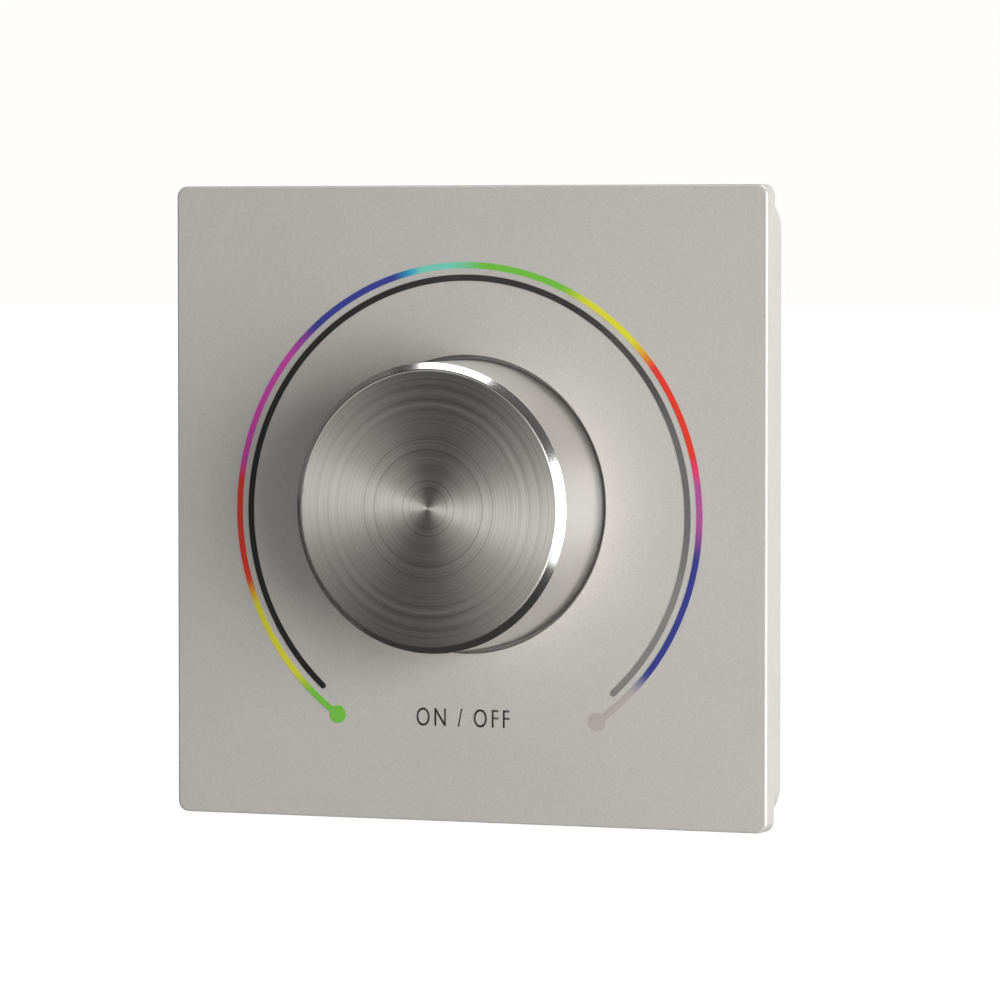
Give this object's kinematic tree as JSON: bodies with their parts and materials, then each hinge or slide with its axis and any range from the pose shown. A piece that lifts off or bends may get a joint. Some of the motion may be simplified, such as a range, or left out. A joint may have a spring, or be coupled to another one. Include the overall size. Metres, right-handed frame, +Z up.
{
  "type": "rotary wall control panel",
  "caption": "Square wall panel with a round metal knob that turns and pushes, printed colour and dimming arcs round it, and a control module behind for a wall box.",
  "frame": {"origin": "on the wall face at the middle of the panel, between the two box screw slots", "axes": "+Z up, +X right as seen from the front, the front faces -Y and +Y points into the wall"},
  "size_m": [0.086, 0.0421, 0.086],
  "materials": {
    "plate_paint": "fine satin spray in warm silver grey",
    "frame_plastic": "moulded, fine matt grain",
    "knob_metal": "satin side, polished chamfer, spun face",
    "core_plastic": "moulded",
    "housing_plastic": "moulded, fine matt grain",
    "board_laminate": "green solder mask",
    "package_plastic": "moulded epoxy",
    "ferrite": "dull grey",
    "can_sleeve": "shrunk sleeve",
    "terminal_plastic": "moulded green",
    "encoder_plastic": "moulded",
    "plated_steel": "bright nickel plate",
    "contact_brass": "plain",
    "ink_green": "screen-printed film",
    "ink_yellow": "screen-printed film",
    "ink_red": "screen-printed film",
    "ink_magenta": "screen-printed film",
    "ink_blue": "screen-printed film",
    "ink_cyan": "screen-printed film",
    "ink_white": "screen-printed film",
    "ink_black": "screen-printed film",
    "ink_charcoal": "screen-printed film",
    "ink_slate": "screen-printed film",
    "ink_grey": "screen-printed film",
    "ink_pale_grey": "screen-printed film"
  },
  "bodies": {
    "panel": {"front_plate": "plate_paint", "rear_frame": "frame_plastic", "encoder_bush": "plated_steel", "lock_washer": "plated_steel", "bush_nut": "plated_steel", "encoder_cover": "plated_steel", "encoder_base": "encoder_plastic", "detent_spring": "plated_steel", "contact_springs": "contact_brass", "switch_dome": "plated_steel", "encoder_pins": "contact_brass", "main_board": "board_laminate", "rear_housing": "housing_plastic", "housing_screws": "plated_steel", "terminal_block": "terminal_plastic", "terminal_clamps": "contact_brass", "terminal_screws": "plated_steel", "terminal_pins": "contact_brass", "output_transistors": "package_plastic", "controller_chip": "package_plastic", "power_inductor": "ferrite", "smoothing_capacitor": "can_sleeve", "print_green": "ink_green", "print_yellow": "ink_yellow", "print_red": "ink_red", "print_magenta": "ink_magenta", "print_blue": "ink_blue", "print_cyan": "ink_cyan", "print_white": "ink_white", "print_black": "ink_black", "print_charcoal": "ink_charcoal", "print_slate": "ink_slate", "print_grey": "ink_grey", "print_pale_grey": "ink_pale_grey"},
    "rotor": {"encoder_rotor": "encoder_plastic"},
    "knob": {"knob_cap": "knob_metal", "knob_core": "core_plastic", "encoder_shaft": "plated_steel"},
    "plunger": {"switch_plunger": "encoder_plastic"}
  },
  "joints": [
    {"name": "knob_turn", "type": "hinge", "parent": "panel", "child": "rotor", "pos_m": [0, 0, 0], "axis": [0, 1, 0], "continuous": true, "deforming": ["detent_spring"]},
    {"name": "knob_push", "type": "slide", "parent": "rotor", "child": "knob", "axis": [0, 1, 0], "range_m": [0, 0.0005], "stiffness_N_per_m": 2000, "springref_m": -0.0015, "deforming": ["switch_dome"]},
    {"name": "plunger_push", "type": "slide", "parent": "panel", "child": "plunger", "axis": [0, 1, 0], "range_m": [0, 0.0005]}
  ],
  "couplings": [
    {"joint": "plunger_push", "follows": "knob_push", "ratio": 1}
  ]
}
